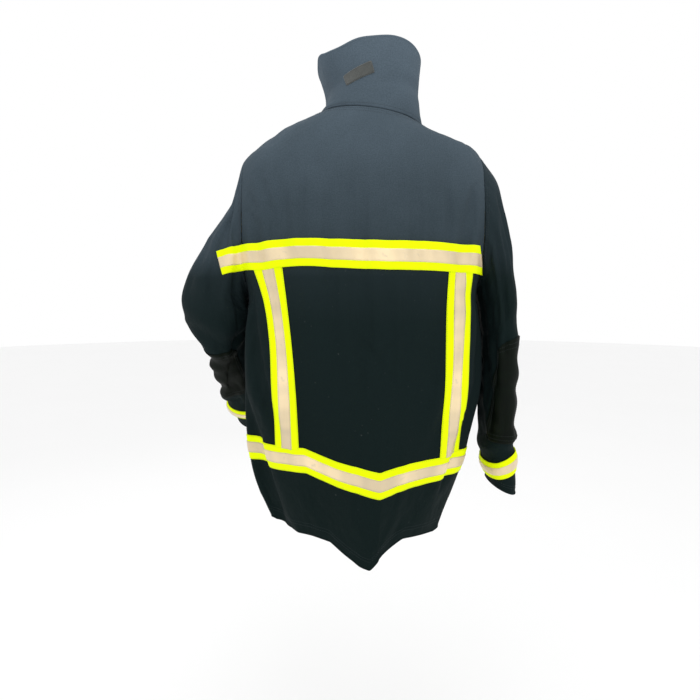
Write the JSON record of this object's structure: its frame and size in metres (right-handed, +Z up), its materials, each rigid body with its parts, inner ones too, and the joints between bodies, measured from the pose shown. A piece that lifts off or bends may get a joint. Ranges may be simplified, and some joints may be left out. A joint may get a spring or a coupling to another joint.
{
  "type": "turnout coat",
  "caption": "Firefighter's turnout coat hanging zipped, one arm bent forward: layered shell and liner, stand-up collar, reflective trim, hinged flaps, sliding zip.",
  "frame": {"origin": "middle of the hanger loop inside the back of the collar", "axes": "+Z up along the hanging coat, front faces -Y, wearer's left is +X"},
  "size_m": [0.7177, 0.4432, 0.9921],
  "materials": {
    "shell_fabric": "woven twill, matte",
    "lime_trim": "fluorescent woven",
    "silver_trim": "glass-bead retroreflective",
    "quilted_liner": "quilted face cloth",
    "barrier_film": "coated film",
    "hook_and_loop": "looped pile",
    "webbing": "narrow woven tape",
    "zip_brass": "worn brass",
    "steel": "nickel plated",
    "knit": "rib knit",
    "elbow_leather": "dull hide"
  },
  "bodies": {
    "coat": {"back_yoke": "shell_fabric", "back_panel": "shell_fabric", "left_front_panel": "shell_fabric", "right_front_panel": "shell_fabric", "moisture_barrier": "barrier_film", "thermal_liner": "quilted_liner", "collar_shell": "shell_fabric", "collar_lining": "shell_fabric", "chest_tape": "lime_trim", "chest_stripe": "silver_trim", "hem_tape": "lime_trim", "hem_stripe": "silver_trim", "brace_tape": "lime_trim", "brace_stripe": "silver_trim", "left_zip_tape": "webbing", "left_zip_teeth": "zip_brass", "right_zip_tape": "webbing", "right_zip_teeth": "zip_brass", "zip_bottom_box": "zip_brass", "front_loop_strip": "hook_and_loop", "throat_loop_patch": "hook_and_loop", "collar_tab_patch": "hook_and_loop", "hanger_loop": "webbing", "left_pocket_bag": "shell_fabric", "right_pocket_bag": "shell_fabric", "radio_pocket_bag": "shell_fabric", "pocket_loop_patches": "hook_and_loop", "d_ring_tab": "webbing", "glove_hook_tab": "webbing"},
    "slider": {"zip_slider": "zip_brass"},
    "pull": {"zip_pull": "zip_brass"},
    "storm_flap": {"storm_flap": "shell_fabric", "storm_flap_hook_strip": "hook_and_loop"},
    "throat_tab": {"throat_tab": "shell_fabric", "throat_tab_hook_patch": "hook_and_loop"},
    "left_pocket_flap": {"left_pocket_flap": "shell_fabric", "left_pocket_flap_hook_patch": "hook_and_loop"},
    "right_pocket_flap": {"right_pocket_flap": "shell_fabric", "right_pocket_flap_hook_patch": "hook_and_loop"},
    "radio_flap": {"radio_pocket_flap": "shell_fabric", "radio_pocket_flap_hook_patch": "hook_and_loop"},
    "d_ring": {"d_ring": "steel"},
    "snap_hook": {"snap_hook": "steel"},
    "snap_gate": {"snap_gate": "steel"},
    "left_upper_sleeve": {"left_upper_sleeve_shell": "shell_fabric", "left_upper_sleeve_liner": "quilted_liner"},
    "left_forearm": {"left_forearm_shell": "shell_fabric", "left_forearm_liner": "quilted_liner", "left_wristlet": "knit", "left_cuff_tape": "lime_trim", "left_cuff_stripe": "silver_trim", "left_elbow_patch": "elbow_leather"},
    "right_upper_sleeve": {"right_upper_sleeve_shell": "shell_fabric", "right_upper_sleeve_liner": "quilted_liner"},
    "right_forearm": {"right_forearm_shell": "shell_fabric", "right_forearm_liner": "quilted_liner", "right_wristlet": "knit", "right_cuff_tape": "lime_trim", "right_cuff_stripe": "silver_trim", "right_elbow_patch": "elbow_leather"}
  },
  "joints": [
    {"name": "zip_slide", "type": "slide", "parent": "coat", "child": "slider", "axis": [0, 0.0995, 0.995], "range_m": [-0.76, 0]},
    {"name": "zip_pull_swing", "type": "hinge", "parent": "slider", "child": "pull", "pos_m": [0, -0.17833, -0.00911], "axis": [-1, 0, 0], "range_deg": [0, 95]},
    {"name": "storm_flap_open", "type": "hinge", "parent": "coat", "child": "storm_flap", "pos_m": [0.0405, -0.21987, -0.39741], "axis": [0, 0.0995, 0.995], "range_deg": [0, 105]},
    {"name": "throat_tab_open", "type": "hinge", "parent": "coat", "child": "throat_tab", "pos_m": [0.0603, -0.16569, 0.038], "axis": [0, 0.1063, 0.9943], "range_deg": [0, 110]},
    {"name": "left_pocket_flap_lift", "type": "hinge", "parent": "coat", "child": "left_pocket_flap", "pos_m": [0.13876, -0.21899, -0.43816], "axis": [-0.9563, -0.2924, 0], "range_deg": [0, 115]},
    {"name": "right_pocket_flap_lift", "type": "hinge", "parent": "coat", "child": "right_pocket_flap", "pos_m": [-0.13876, -0.21899, -0.43816], "axis": [-0.9563, 0.2924, 0], "range_deg": [0, 115]},
    {"name": "radio_flap_lift", "type": "hinge", "parent": "coat", "child": "radio_flap", "pos_m": [0.12164, -0.19436, -0.11889], "axis": [-0.9877, -0.1564, 0], "range_deg": [0, 115]},
    {"name": "d_ring_swing", "type": "hinge", "parent": "coat", "child": "d_ring", "pos_m": [-0.12312, -0.19936, -0.15129], "axis": [-0.9877, 0.1564, 0], "range_deg": [0, 80]},
    {"name": "snap_hook_swing", "type": "hinge", "parent": "coat", "child": "snap_hook", "pos_m": [-0.119, -0.21723, -0.33129], "axis": [-0.9903, 0.1392, 0], "range_deg": [0, 70]},
    {"name": "snap_gate_open", "type": "hinge", "parent": "snap_hook", "child": "snap_gate", "pos_m": [-0.12717, -0.21978, -0.36794], "axis": [-0.1385, -0.9854, 0.0995], "range_deg": [0, 22], "stiffness_Nm_per_rad": 0.01},
    {"name": "left_shoulder_lift", "type": "hinge", "parent": "coat", "child": "left_upper_sleeve", "pos_m": [0.2335, -0.08, -0.08], "axis": [0, -1, 0], "range_deg": [0, 25], "stiffness_Nm_per_rad": 3},
    {"name": "right_shoulder_lift", "type": "hinge", "parent": "coat", "child": "right_upper_sleeve", "pos_m": [-0.2335, -0.08, -0.08], "axis": [0, 1, 0], "range_deg": [0, 25], "stiffness_Nm_per_rad": 3},
    {"name": "left_elbow_bend", "type": "hinge", "parent": "left_upper_sleeve", "child": "left_forearm", "pos_m": [0.29736, -0.12771, -0.39654], "axis": [-0.6928, 0.5895, -0.4154], "range_deg": [-20, 10], "stiffness_Nm_per_rad": 3},
    {"name": "right_elbow_bend", "type": "hinge", "parent": "right_upper_sleeve", "child": "right_forearm", "pos_m": [-0.286, -0.135, -0.495], "axis": [-1, 0, 0], "range_deg": [0, 75], "stiffness_Nm_per_rad": 3}
  ]
}
